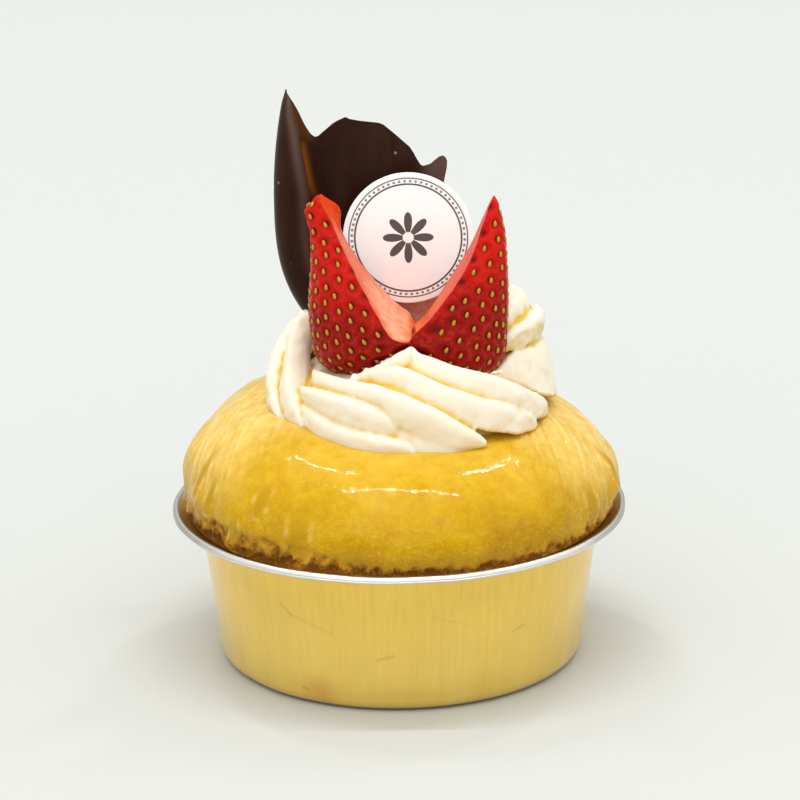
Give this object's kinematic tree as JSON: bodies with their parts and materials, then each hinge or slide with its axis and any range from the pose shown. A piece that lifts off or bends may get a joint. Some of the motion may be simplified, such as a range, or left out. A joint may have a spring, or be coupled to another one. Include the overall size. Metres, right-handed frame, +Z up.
{
  "type": "rum baba",
  "caption": "Rum baba in a gold foil cup: a syrup-glazed bun with a piped cream rosette, cut strawberries, a curled dark chocolate shard and a round white plaque.",
  "frame": {"origin": "middle of the foil cup's flat base, on the table", "axes": "+Z up, -Y towards the front that the picture shows, +X to the right seen from the front"},
  "size_m": [0.088, 0.0878, 0.1077],
  "materials": {
    "gold_foil": "gold-lacquered, satin",
    "soaked_cake": "syrup glaze over fine crumb",
    "whipped_cream": "soft satin",
    "strawberry": "moist gloss",
    "dark_chocolate": "satin",
    "white_plaque": "satin"
  },
  "bodies": {
    "root": {"foil_cup": "gold_foil", "baba_cake": "soaked_cake", "cream_rosette": "whipped_cream", "strawberry_left": "strawberry", "strawberry_right": "strawberry", "strawberry_back": "strawberry", "chocolate_shard": "dark_chocolate", "plaque_disc": "white_plaque"}
  },
  "joints": []
}
